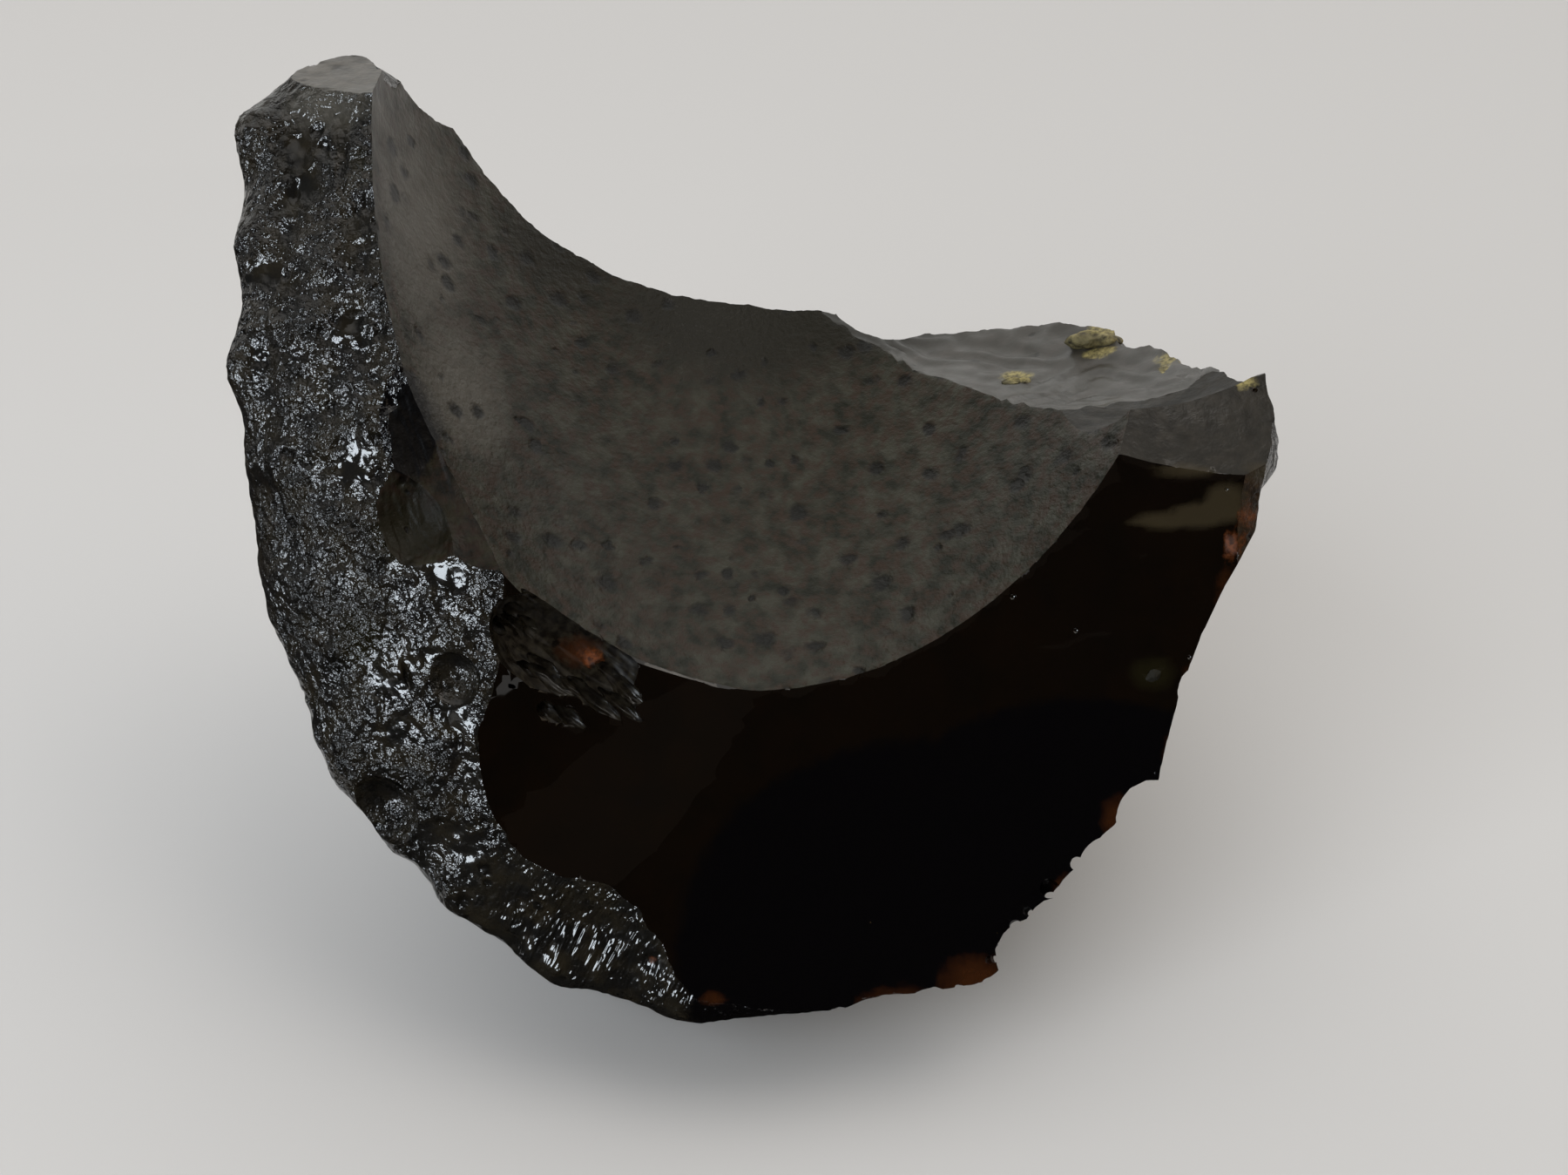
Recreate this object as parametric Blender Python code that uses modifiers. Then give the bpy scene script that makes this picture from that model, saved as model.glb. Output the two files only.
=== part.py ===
# Indochinite tektite: one broken lump of natural black glass, a single solid.
# Metres, +Z up. The viewer looks along +Y at the fresh break, which leans back.
import math

import bmesh
import bpy
from mathutils import Matrix, Vector, noise

MM = 0.001
GOLDEN_ANGLE = math.pi * (3.0 - math.sqrt(5.0))

# The stone is laid out on its broken front, in millimetres and degrees: x to the right,
# y into the stone, z up along the break. Then it is tipped back by LEAN and stood on Z = 0.
LEAN = 36.0
REST_HEIGHT = -37.6          # level of the ground flat, from the layout's origin, once tipped back

# Rounded lumps that make up the natural body, as centre, radii and turn.
BODY = {
    "lump_main": ((-0.2, 3.0, -1.3), (28.0, 28.0, 35.0), (0, 4, 0)),
    "lump_horn": ((-22.3, 3.0, 8.6), (6.0, 7.0, 8.5), (0, 0, 0)),
    "lump_shoulder": ((15.1, 17.8, -2.6), (10.8, 12.8, 10.2), (0, 0, 0)),
    "lump_lower_right": ((10.4, 1.5, -29.3), (6.1, 8.0, 5.6), (0, 0, 0)),
    "lump_right": ((19.4, 1.5, -19.6), (4.4, 8.0, 6.3), (0, 29, 0)),
    "lump_heel": ((-1.5, 17.5, -9.0), (23.0, 17.5, 22.5), (0, 0, 0)),
}
# Swells and dents of the skin: centre, reach, and height above the plain lumps.
SWELLS = [
    ((-27.9, 2.5, 12.6), 3.2, 1.8),
    ((-28.0, 2.5, 5.7), 3.5, 0.8),
    ((-28.7, 2.5, -0.9), 3.4, 1.6),
    ((-26.5, 2.5, -8.6), 3.2, -0.6),
    ((-25.3, 2.5, -14.7), 3.0, -0.3),
    ((-23.1, 2.5, -22.8), 3.8, 1.1),
    ((-20.4, 2.5, -26.2), 3.0, 1.0),
    ((-16.1, 2.5, -30.4), 3.8, 0.9),
    ((-10.9, 2.5, -34.5), 4.2, 1.5),
    ((-3.8, 2.5, -36.3), 3.6, 0.9),
    ((-7.4, 0.7, -30.4), 5.0, -0.5),
    ((28.7, 2.0, -5.3), 3.6, 1.1),
]
# The older break at the front, since etched: the body ends on this wide ball.
OLD_FACE = ((9.0, 73.0, -0.4), 80.0)

# Hollows that are cut from the body, each as centre, radii and turn.
HOLLOW = ((1.8, 5.7, 15.9), (22.0, 43.8, 25.3), (48.7, 5.7, 7.4))
FRESH_BREAK = ((12.8, -83.1, -29.9), (86.0, 86.0, 86.0), (0, 0, 0))
FRESH_LOBE = ((-5.7, -29.8, -21.1), (18.0, 31.4, 32.0), (0, 46, 0))
RIM_SCAR = ((16.1, 11.0, 12.4), (15.0, 28.1, 14.3), (9.2, 0, 36.1))

# Long chips, in the same form.
CHIPS = {
    "chip_beside_hollow": ((-17.6, -6.8, -7.2), (5.0, 5.0, 10.0), (0, -20, 0)),
    "rim_notch": ((9.3, 30.0, 8.2), (4.5, 14.0, 4.2), (0, 0, 0)),
    "splinter_upper": ((-8.4, -2.2, -16.3), (6.0, 2.5, 2.2), (0, 40, 0)),
    "splinter_lower": ((-7.0, -0.5, -18.2), (3.5, 2.0, 1.3), (0, 40, 0)),
}

# Small breaks: a point on the surface, the way the break faces, and its radius of curvature.
SMALL_BREAKS = {
    "tip_facet": ((24.4, 0.4, -4.5), (0.03, -1.0, 0.66), 16.2),
    "tip_top": ((25.0, 1.0, -2.1), (0.0, 0.2, 1.0), 20.0),
    "horn_top": ((-24.0, 1.0, 13.9), (0.05, -0.5, 1.0), 30.0),
    "rusty_side": ((25.5, 0.5, -11.7), (0.9, 0.0, -0.44), 40.0),
    "rusty_bevel": ((25.3, -0.6, -10.0), (0.45, -0.87, -0.2), 30.0),
    "pit_round": ((-14.9, -0.9, -17.2), (-0.3, -0.93, -0.21), 1.7),
    "pit_lower": ((-19.2, 2.7, -24.3), (-0.35, -0.89, -0.3), 2.6),
}
BITE_LENGTH = 3.4            # reach of a bite into the stone, in its radii
# Bites along the thin lower right edge: centre of each in the layout, and its radius.
EDGE_BITES = [
    ((24.3, 4.0, -18.0), 1.7),
    ((21.9, 4.0, -25.0), 2.25),
    ((19.6, 4.0, -27.8), 1.9),
    ((16.9, 4.0, -31.4), 2.1),
    ((15.4, 4.0, -32.6), 2.1),
    ((9.9, 3.0, -36.2), 2.0),
    ((5.8, 3.0, -37.4), 2.3),
]

# A weathered notch behind the horn's top, rounded with the skin.
HORN_NOTCH = ((-19.4, 6.0, 14.2), (0.7, 0.0, 1.0), 10.0)

VOXEL = 1.3                  # mesh size of the natural skin, before it is thinned
KEPT_FACES = 0.5             # share of them that is kept
SKIN_SMOOTHING = 12          # passes, which round the old edges
LUMP_HEIGHT = 0.45           # large swells of the skin
LUMP_SPACING = 7.0
KNOB_HEIGHT = 0.22           # smaller knobs on them
KNOB_SPACING = 3.2
KNOB_SHIFT = (4.0, 9.0, 2.0) # sets the knobs out of step with the swells
PITS = 34                    # etched pits, spread evenly round the skin
PIT_RADIUS = (1.6, 3.0)
PIT_DEPTH = 0.28             # of the radius
BREAK_SEGMENTS = 80          # round the cutters of the large breaks
CHIP_SEGMENTS = 20           # round the cutters of small chips
GROUND_SIZE = 90.0           # side of the block that cuts the ground flat
SHARP_ANGLE = math.radians(32)

GLASS_COLOUR = (0.012, 0.011, 0.010, 1.0)
GLASS_ROUGHNESS = 0.32


def clear_scene():
    for obj in list(bpy.data.objects):
        bpy.data.objects.remove(obj, do_unlink=True)


def add_collection(name):
    collection = bpy.data.collections.new(name)
    bpy.context.scene.collection.children.link(collection)
    return collection


def glass_material():
    material = bpy.data.materials.new("black_glass")
    material.use_nodes = True
    shader = material.node_tree.nodes["Principled BSDF"]
    shader.inputs["Base Color"].default_value = GLASS_COLOUR
    shader.inputs["Roughness"].default_value = GLASS_ROUGHNESS
    shader.inputs["Metallic"].default_value = 0.0
    return material


def turn_matrix(turn):
    rx, ry, rz = (math.radians(angle) for angle in turn)
    return Matrix.Rotation(rz, 4, "Z") @ Matrix.Rotation(ry, 4, "Y") @ Matrix.Rotation(rx, 4, "X")


def add_ball(name, centre, radii, turn=(0, 0, 0), segments=BREAK_SEGMENTS):
    """A closed ball with three radii, in the layout frame."""
    ball = bmesh.new()
    bmesh.ops.create_uvsphere(ball, u_segments=segments, v_segments=segments // 2, radius=1.0)
    scale = Matrix.Diagonal((*(radius * MM for radius in radii), 1.0))
    place = Matrix.Translation(Vector(centre) * MM)
    bmesh.ops.transform(ball, matrix=place @ turn_matrix(turn) @ scale, verts=ball.verts)
    mesh = bpy.data.meshes.new(name)
    ball.to_mesh(mesh)
    ball.free()
    mesh.shade_smooth()
    obj = bpy.data.objects.new(name, mesh)
    tools.objects.link(obj)
    obj.hide_render = True
    obj.display_type = "WIRE"
    return obj


def add_break(name, point, facing, radius, segments=CHIP_SEGMENTS):
    """A ball whose surface passes through a point, with its centre on the side that is lost."""
    centre = Vector(point) + Vector(facing).normalized() * radius
    return add_ball(name, centre, (radius,) * 3, segments=segments)


def combine(obj, other, operation):
    boolean = obj.modifiers.new(other.name, "BOOLEAN")
    boolean.operation = operation
    boolean.solver = "EXACT"
    boolean.object = other


def skin_relief(point, pits):
    """Height of the natural skin above the plain lumps, in millimetres."""
    swell = noise.noise(point / LUMP_SPACING)
    knob = noise.noise(point / KNOB_SPACING + Vector(KNOB_SHIFT))
    height = LUMP_HEIGHT * swell + KNOB_HEIGHT * knob
    for centre, radius in pits:
        nearness = 1.0 - (point - centre).length_squared / radius ** 2
        if nearness > 0.0:
            height -= PIT_DEPTH * radius * nearness ** 2
    for centre, reach, rise in SWELLS:
        nearness = 1.0 - (point - Vector(centre)).length_squared / reach ** 2
        if nearness > 0.0:
            height += rise * nearness ** 2
    return height


def pit_places():
    """Pits on a golden-angle spiral round the main lump, with mixed radii."""
    centre, radii, _ = BODY["lump_main"]
    small, large = PIT_RADIUS
    places = []
    for index in range(PITS):
        height = 1.0 - 2.0 * (index + 0.5) / PITS
        angle = index * GOLDEN_ANGLE
        ring = math.sqrt(1.0 - height * height)
        direction = Vector((ring * math.cos(angle), ring * math.sin(angle), height))
        place = Vector(centre) + Vector(a * b for a, b in zip(direction, radii))
        radius = small + (large - small) * (index * GOLDEN_ANGLE % 1.0)
        places.append((place, radius))
    return places


def evaluated_mesh(obj):
    graph = bpy.context.evaluated_depsgraph_get()
    return bpy.data.meshes.new_from_object(obj.evaluated_get(graph))


def natural_body():
    """The lump as it was before its last breaks, with its swells and pits."""
    lumps = [add_ball(name, *values) for name, values in BODY.items()]
    blank = lumps[0]
    for lump in lumps[1:]:
        combine(blank, lump, "UNION")
    centre, radius = OLD_FACE
    combine(blank, add_ball("old_face", centre, (radius,) * 3), "INTERSECT")
    combine(blank, add_break("horn_notch", *HORN_NOTCH), "DIFFERENCE")
    remesh = blank.modifiers.new("even_mesh", "REMESH")
    remesh.mode = "VOXEL"
    remesh.voxel_size = VOXEL * MM
    smooth = blank.modifiers.new("old_edges", "SMOOTH")
    smooth.iterations = SKIN_SMOOTHING
    mesh = evaluated_mesh(blank)
    pits = pit_places()
    normals = [vertex.normal.copy() for vertex in mesh.vertices]
    for vertex, normal in zip(mesh.vertices, normals):
        vertex.co += normal * skin_relief(vertex.co / MM, pits) * MM
    mesh.shade_smooth()
    mesh.set_sharp_from_angle(angle=SHARP_ANGLE)
    return mesh


def add_ground():
    """A block whose top is the ground: it cuts the small flat that the stone rests on."""
    block = bmesh.new()
    bmesh.ops.create_cube(block, size=GROUND_SIZE * MM)
    mesh = bpy.data.meshes.new("ground")
    block.to_mesh(mesh)
    block.free()
    obj = bpy.data.objects.new("ground", mesh)
    tools.objects.link(obj)
    obj.location.z = -GROUND_SIZE * MM / 2
    obj.hide_render = True
    obj.display_type = "WIRE"
    return obj


def stand_up(stone):
    """Tips the layout back, lowers it on the ground and centres it over the origin."""
    lean = bpy.data.objects.new("lean", None)
    parts.objects.link(lean)
    lean.rotation_euler.x = -math.radians(LEAN)
    lean.location.z = -REST_HEIGHT * MM
    for obj in (stone, *tools.objects):
        obj.parent = lean
    combine(stone, add_ground(), "DIFFERENCE")
    bpy.context.view_layer.update()
    place = stone.matrix_world
    corners = [place @ vertex.co for vertex in evaluated_mesh(stone).vertices]
    for axis in (0, 1):
        values = [corner[axis] for corner in corners]
        lean.location[axis] = -(min(values) + max(values)) / 2


def build():
    stone = bpy.data.objects.new("tektite", natural_body())
    parts.objects.link(stone)
    thin = stone.modifiers.new("thin_mesh", "DECIMATE")
    thin.ratio = KEPT_FACES
    for name, values in (("hollow", HOLLOW), ("fresh_break", FRESH_BREAK),
                         ("fresh_lobe", FRESH_LOBE), ("rim_scar", RIM_SCAR)):
        combine(stone, add_ball(name, *values), "DIFFERENCE")
    for name, values in CHIPS.items():
        combine(stone, add_ball(name, *values, segments=CHIP_SEGMENTS * 2), "DIFFERENCE")
    for name, values in SMALL_BREAKS.items():
        combine(stone, add_break(name, *values), "DIFFERENCE")
    for number, (centre, radius) in enumerate(EDGE_BITES, 1):
        radii = (radius, radius * BITE_LENGTH, radius)
        bite = add_ball(f"edge_bite_{number}", centre, radii, segments=CHIP_SEGMENTS)
        combine(stone, bite, "DIFFERENCE")
    stone.data.materials.clear()
    stone.data.materials.append(glass_material())
    stand_up(stone)
    return stone


clear_scene()
parts = add_collection("indochinite_tektite")
tools = add_collection("cutters")
stone = build()
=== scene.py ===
import math
import random

import bmesh
import bpy
import numpy
from mathutils import Matrix, Vector, noise


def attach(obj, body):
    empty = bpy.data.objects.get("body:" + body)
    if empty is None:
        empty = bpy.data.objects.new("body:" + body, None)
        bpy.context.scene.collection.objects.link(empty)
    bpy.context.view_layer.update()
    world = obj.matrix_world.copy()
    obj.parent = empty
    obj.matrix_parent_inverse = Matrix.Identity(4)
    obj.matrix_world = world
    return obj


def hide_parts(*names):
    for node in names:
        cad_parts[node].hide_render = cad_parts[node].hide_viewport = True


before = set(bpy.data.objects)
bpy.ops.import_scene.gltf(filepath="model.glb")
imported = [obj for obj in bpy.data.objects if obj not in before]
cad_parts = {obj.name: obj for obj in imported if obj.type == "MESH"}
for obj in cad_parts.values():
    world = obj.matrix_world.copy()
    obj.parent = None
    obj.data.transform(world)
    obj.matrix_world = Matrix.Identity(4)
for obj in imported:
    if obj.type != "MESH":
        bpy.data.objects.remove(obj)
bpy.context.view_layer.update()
print("frame loaded")

scene = bpy.context.scene
goldenAngle = math.pi * (3.0 - math.sqrt(5.0))

# The stone is laid out in millimetres on its broken front: x to the right, y into the
# stone, z up along the break. Then it is tipped back and stood on the ground.
stance = {
    "lean": 36.0,                           # degrees that the front leans back
    "origin": (0.2476, -4.5457, 37.6),      # the layout's origin in the frame, mm
}
layoutToFrame = (
    Matrix.Scale(0.001, 4)
    @ Matrix.Translation(stance["origin"])
    @ Matrix.Rotation(-math.radians(stance["lean"]), 4, "X")
)

# The natural lump before its breaks, as the CAD solid has it.
naturalLump = {
    "lumps": [      # centre, radii, turn
        ((-0.2, 3.0, -1.3), (28.0, 28.0, 35.0), (0, 4, 0)),
        ((-22.3, 3.0, 8.6), (6.0, 7.0, 8.5), (0, 0, 0)),
        ((15.1, 17.8, -2.6), (10.8, 12.8, 10.2), (0, 0, 0)),
        ((10.4, 1.5, -29.3), (6.1, 8.0, 5.6), (0, 0, 0)),
        ((19.4, 1.5, -19.6), (4.4, 8.0, 6.3), (0, 29, 0)),
        ((-1.5, 17.5, -9.0), (23.0, 17.5, 22.5), (0, 0, 0)),
    ],
    "oldFace": ((9.0, 73.0, -0.4), 80.0),   # older break at the front, since etched
    "hornNotch": ((-19.4, 6.0, 14.2), (0.7, 0.0, 1.0), 10.0),
    "ballSegments": 80,
    "voxel": 1.3,
    "smoothing": 12,
    "lumpHeight": 0.45, "lumpSpacing": 7.0,
    "knobHeight": 0.22, "knobSpacing": 3.2, "knobShift": (4.0, 9.0, 2.0),
    "pits": 34, "pitRadius": (1.6, 3.0), "pitDepth": 0.28,
    "swells": [     # centre, reach, height
        ((-27.9, 2.5, 12.6), 3.2, 1.8), ((-28.0, 2.5, 5.7), 3.5, 0.8),
        ((-28.7, 2.5, -0.9), 3.4, 1.6), ((-26.5, 2.5, -8.6), 3.2, -0.6),
        ((-25.3, 2.5, -14.7), 3.0, -0.3), ((-23.1, 2.5, -22.8), 3.8, 1.1),
        ((-20.4, 2.5, -26.2), 3.0, 1.0), ((-16.1, 2.5, -30.4), 3.8, 0.9),
        ((-10.9, 2.5, -34.5), 4.2, 1.5), ((-3.8, 2.5, -36.3), 3.6, 0.9),
        ((-7.4, 0.7, -30.4), 5.0, -0.5), ((28.7, 2.0, -5.3), 3.4, 1.8),
    ],
}

# Places with a look of their own, and places with painted light or shade: centre and reach along x, y
# and z, in the layout.
places = {
    "burnished": [  # skin worn shiny, with small domes packed together
        ((-16.6, -1.5, -14.2), (3.6, 5.0, 4.6)), ((-18.4, 0.5, -19.4), (5.4, 5.0, 2.8)),
        ((-15.2, 1.5, -27.0), (2.2, 3.0, 2.2)), ((-20.2, -0.5, -6.0), (1.8, 3.0, 2.4)),
        ((-24.0, 1.5, 9.0), (2.2, 3.0, 3.6)), ((-24.6, 1.0, 0.0), (2.8, 3.0, 1.0)),
        ((-20.6, 1.0, 1.4), (1.8, 3.0, 2.6)), ((-26.2, 1.0, 4.0), (2.2, 3.0, 1.0)),
    ],
    "streaked": [((-7.0, 2.0, -31.0), (9.5, 7.0, 7.0))],
    "grooved": [((-21.4, 1.0, 8.0), (2.4, 4.0, 7.0)), ((-26.0, 1.0, 1.5), (1.6, 4.0, 1.0))],
    # painted dark reflection and painted shade: near black on the fresh break's lower right where it
    # mirrors a dark room, and darker on the rough chip at the left where it is shaded
    "darkReflectionAndShade": [
        ((9.0, 3.0, -32.0), (14.0, 12.0, 12.0)), ((18.0, 3.0, -26.0), (12.0, 12.0, 8.0)),
        ((-17.7, -1.0, -4.0), (1.5, 7.0, 3.0)),
    ],
    # painted reflection: lighter patches and streaks at the right end where the glass mirrors the bright
    # room
    "paintedReflection": [
        ((21.8, -0.5, -9.1), (2.4, 2.0, 0.5)), ((23.6, -0.5, -8.8), (2.0, 2.0, 0.8)),
        ((24.9, -0.8, -8.2), (1.4, 2.0, 1.3)), ((22.8, -0.5, -6.5), (2.6, 1.6, 0.3)),
        ((26.8, -0.8, -6.6), (1.2, 1.2, 0.6)),
    ],
    "paintedSheen": [      # painted sheen: the hollow's wall by the horn made lighter where it shines at a grazing angle
        ((-19.6, 12.0, 7.0), (3.0, 14.0, 11.0)), ((-16.5, 8.0, -1.5), (3.2, 10.0, 7.0)),
        ((-22.0, 4.0, 13.0), (4.0, 8.0, 2.0)),
    ],
    # olive-brown tone, the glass's own on spots of the skin, and painted shade along the hollow's upper
    # rim where it is lit less
    "oliveAndShade": [
        ((-1.0, 30.0, 6.0), (15.0, 10.0, 9.0)), ((-12.0, 24.0, 10.5), (6.0, 9.0, 6.0)),
        ((-20.5, 0.0, -15.4), (2.2, 3.0, 2.2)), ((-17.6, -0.5, -9.6), (3.0, 3.0, 2.4)),
        ((-20.5, 0.0, 9.9), (0.7, 2.0, 1.0)), ((21.5, 1.3, -17.2), (1.6, 1.6, 1.2)),
        ((8.0, 27.0, 5.0), (8.0, 8.0, 3.0)),
    ],
    # painted glow: the glass's brown in thin edges, made brighter as if light shone through them
    "paintedAmberGlow": [
        ((12.4, 3.0, -34.0), (2.8, 3.0, 2.0)), ((8.1, 3.0, -35.2), (3.2, 3.0, 1.4)),
        ((17.2, 3.0, -29.4), (1.2, 3.0, 1.8)), ((19.9, 3.0, -25.0), (1.3, 3.0, 1.7)),
        ((22.9, 3.0, -21.8), (1.1, 3.0, 2.4)), ((23.6, 3.0, -17.4), (0.9, 3.0, 1.8)),
        ((25.3, 2.0, -12.6), (1.2, 3.0, 2.6)), ((-2.0, 1.5, -34.6), (1.0, 3.0, 0.5)),
        ((-9.0, 0.0, -16.0), (1.8, 3.0, 1.2)),
    ],
    "yellow": [
        ((16.6, 20.8, 0.8), (1.4, 2.2, 0.7)), ((22.1, 21.6, 3.9), (1.9, 2.6, 1.0)),
        ((21.8, 20.0, 2.2), (1.7, 1.6, 0.6)), ((25.7, 15.8, 0.9), (1.7, 2.4, 1.4)),
        ((26.6, 1.8, -1.5), (1.2, 1.8, 0.6)),
    ],
    "rust": [
        ((-8.4, 0.6, -16.3), (1.0, 2.0, 0.75)), ((-5.2, 2.0, -32.5), (0.4, 1.0, 0.35)),
        ((26.1, -0.6, -8.8), (0.8, 2.5, 1.4)), ((25.3, 0.0, -10.4), (0.6, 2.5, 1.3)),
    ],
}

# The run of the fine lines in the skin, in the layout.
lineDirection = (0.45, 0.0, 0.893)

# Patterns of the relief and the finishes. An edge is the two noise levels where one sets in.
patterns = {
    "pitWobble": (2.2, 0.45),         # bends of a pit's outline, how far they reach
    "pitSizes": (0.7, 0.5),           # what the largest pit has more, the smallest
    "pitSteepness": 1.5, "domeReach": 0.75,
    "linedCalm": 0.7,                 # part of the knobs and pits that lines take away
    "rippleWander": (9.0, 9.0),       # spacing, amount
    "lines": (0.75, 1.6),             # height, how soon they take over from the grain
    "patchEdge": (0.35, 0.65), "cloudEdges": ((0.38, 0.62), (0.42, 0.66)),
    "cloudShift": (31.0, 17.0, 5.0), "cloudRatio": 0.45,
    "tintPatches": (0.8, 4.0, 0.65), "tintSpecks": (0.3, 2.0, 0.6),    # spacing, detail, roughness
    "tintEdge": 0.75, "speckEdge": (0.38, 0.62), "speckShade": 0.3,
    "pitDarkening": (0.9, 0.6),           # darker colour inside the pits: strength, depth of a pit where it is full
    "glossPatches": (1.5, 3.0), "glossEdge": (0.3, 0.7), "coverRoughness": 0.6,
}


def addObject(name, data):
    obj = bpy.data.objects.new(name, data)
    scene.collection.objects.link(obj)
    return obj


def removeObject(obj):
    mesh = obj.data
    bpy.data.objects.remove(obj)
    bpy.data.meshes.remove(mesh)


def evaluatedMesh(obj):
    bpy.context.view_layer.update()
    graph = bpy.context.evaluated_depsgraph_get()
    return bpy.data.meshes.new_from_object(obj.evaluated_get(graph))


def turnMatrix(turn):
    rx, ry, rz = (math.radians(angle) for angle in turn)
    return Matrix.Rotation(rz, 4, "Z") @ Matrix.Rotation(ry, 4, "Y") @ Matrix.Rotation(rx, 4, "X")


def placeMatrix(centre, radii, turn=(0, 0, 0)):
    return Matrix.Translation(centre) @ turnMatrix(turn) @ Matrix.Diagonal((*radii, 1.0))


def meshFrom(work, name):
    mesh = bpy.data.meshes.new(name)
    work.to_mesh(mesh)
    work.free()
    return mesh


def addBall(name, centre, radii, turn=(0, 0, 0), segments=80):
    ball = bmesh.new()
    bmesh.ops.create_uvsphere(ball, u_segments=segments, v_segments=segments // 2, radius=1.0)
    bmesh.ops.transform(ball, matrix=placeMatrix(centre, radii, turn), verts=ball.verts)
    return addObject(name, meshFrom(ball, name))


def ballBehind(point, facing, radius):
    # centre of a ball that passes through a point, on the side that is lost
    return Vector(point) + Vector(facing).normalized() * radius


def combine(obj, others, operation, solver="MANIFOLD"):
    for other in others:
        boolean = obj.modifiers.new(other.name, "BOOLEAN")
        boolean.operation = operation
        boolean.solver = solver
        boolean.object = other
        boolean.material_mode = "TRANSFER"


def bump(nearness):
    return nearness * nearness if nearness > 0.0 else 0.0


def pitPlaces(form):
    # a golden-angle spiral round the main lump
    centre, radii, _ = form["lumps"][0]
    small, large = form["pitRadius"]
    for index in range(form["pits"]):
        height = 1.0 - 2.0 * (index + 0.5) / form["pits"]
        ring = math.sqrt(1.0 - height * height)
        angle = index * goldenAngle
        direction = (ring * math.cos(angle), ring * math.sin(angle), height)
        place = Vector(c + a * r for c, a, r in zip(centre, direction, radii))
        yield place, small + (large - small) * (angle % 1.0)


def lumpRelief(point, form, pits):
    height = form["lumpHeight"] * noise.noise(point / form["lumpSpacing"])
    height += form["knobHeight"] * noise.noise(
        point / form["knobSpacing"] + Vector(form["knobShift"]))
    for centre, radius in pits:
        height -= form["pitDepth"] * radius * bump(1.0 - (point - centre).length_squared / radius ** 2)
    for centre, reach, rise in form["swells"]:
        height += rise * bump(1.0 - (point - Vector(centre)).length_squared / reach ** 2)
    return height


def makeNaturalLump(form):
    balls = [addBall(f"lump{i}", *values, segments=form["ballSegments"])
             for i, values in enumerate(form["lumps"])]
    blank = balls[0]
    centre, radius = form["oldFace"]
    oldFace = addBall("oldFace", centre, (radius,) * 3)
    notch = addBall("hornNotch", ballBehind(*form["hornNotch"]),
                    (form["hornNotch"][2],) * 3, segments=20)
    combine(blank, balls[1:], "UNION", "EXACT")
    combine(blank, [oldFace], "INTERSECT", "EXACT")
    combine(blank, [notch], "DIFFERENCE", "EXACT")
    remesh = blank.modifiers.new("evenMesh", "REMESH")
    remesh.mode = "VOXEL"
    remesh.voxel_size = form["voxel"]
    smooth = blank.modifiers.new("oldEdges", "SMOOTH")
    smooth.iterations = form["smoothing"]
    mesh = evaluatedMesh(blank)
    pits = list(pitPlaces(form))
    normals = [vertex.normal.copy() for vertex in mesh.vertices]
    for vertex, normal in zip(mesh.vertices, normals):
        vertex.co += normal * lumpRelief(vertex.co.copy(), form, pits)
    for obj in (*balls, oldFace, notch):
        removeObject(obj)
    return mesh


def markPlaces(mesh, names):
    # a mask on the mesh's points for each kind of place: 1 at a centre, 0 from its reach on
    count = len(mesh.vertices)
    points = numpy.empty(count * 3)
    mesh.vertices.foreach_get("co", points)
    points = points.reshape(count, 3)
    for name in names:
        cover = numpy.zeros(count)
        for centre, reach in places[name]:
            away = (((points - centre) / reach) ** 2).sum(axis=1)
            cover = numpy.maximum(cover, 1.0 - away)
        if name in mesh.attributes:
            mesh.attributes.remove(mesh.attributes[name])
        mesh.attributes.new(name, "FLOAT", "POINT").data.foreach_set("value", cover)


def plug(tree, socket, value):
    if isinstance(value, bpy.types.NodeSocket):
        tree.links.new(value, socket)
    else:
        socket.default_value = value


def addNode(tree, kind, inputs=None, **settings):
    node = tree.nodes.new(kind)
    for name, value in settings.items():
        setattr(node, name, value)
    for socket, value in (inputs or {}).items():
        plug(tree, node.inputs[socket], value)
    return node


def calc(tree, operation, *values, clamp=False):
    node = addNode(tree, "ShaderNodeMath", dict(enumerate(values)), operation=operation)
    node.use_clamp = clamp
    return node.outputs[0]


def along(tree, operation, *values):
    node = addNode(tree, "ShaderNodeVectorMath", operation=operation)
    for socket, value in zip(node.inputs, values):
        plug(tree, socket, value)
    return node.outputs["Value" if operation in ("DOT_PRODUCT", "DISTANCE", "LENGTH") else "Vector"]


def scaled(tree, vector, factor):
    node = addNode(tree, "ShaderNodeVectorMath", {"Vector": vector, "Scale": factor}, operation="SCALE")
    return node.outputs[0]


def addTree(name, kind, inputs, outputs):
    tree = bpy.data.node_groups.new(name, kind)
    for label, socketType, value in inputs:
        socket = tree.interface.new_socket(label, in_out="INPUT", socket_type="NodeSocket" + socketType)
        if value is not None:
            socket.default_value = value
    for label, socketType in outputs:
        tree.interface.new_socket(label, in_out="OUTPUT", socket_type="NodeSocket" + socketType)
    return tree, tree.nodes.new("NodeGroupInput").outputs, tree.nodes.new("NodeGroupOutput").inputs


def stretched(tree, point, direction, length):
    # squeezes space along a direction, so that a noise read there runs in streaks
    reach = along(tree, "DOT_PRODUCT", point, direction)
    squeeze = calc(tree, "SUBTRACT", calc(tree, "DIVIDE", 1.0, length), 1.0)
    return along(tree, "ADD", point, scaled(tree, direction, calc(tree, "MULTIPLY", reach, squeeze)))


def noiseAt(tree, point, spacing, detail=2.0, roughness=0.5):
    node = addNode(tree, "ShaderNodeTexNoise", {
        "Vector": scaled(tree, point, calc(tree, "DIVIDE", 1.0, spacing)),
        "Scale": 1.0, "Detail": detail, "Roughness": roughness})
    return node.outputs[0]


def centred(tree, value):
    # from 0..1 to -1..1
    return calc(tree, "MULTIPLY_ADD", value, 2.0, -1.0)


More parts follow.
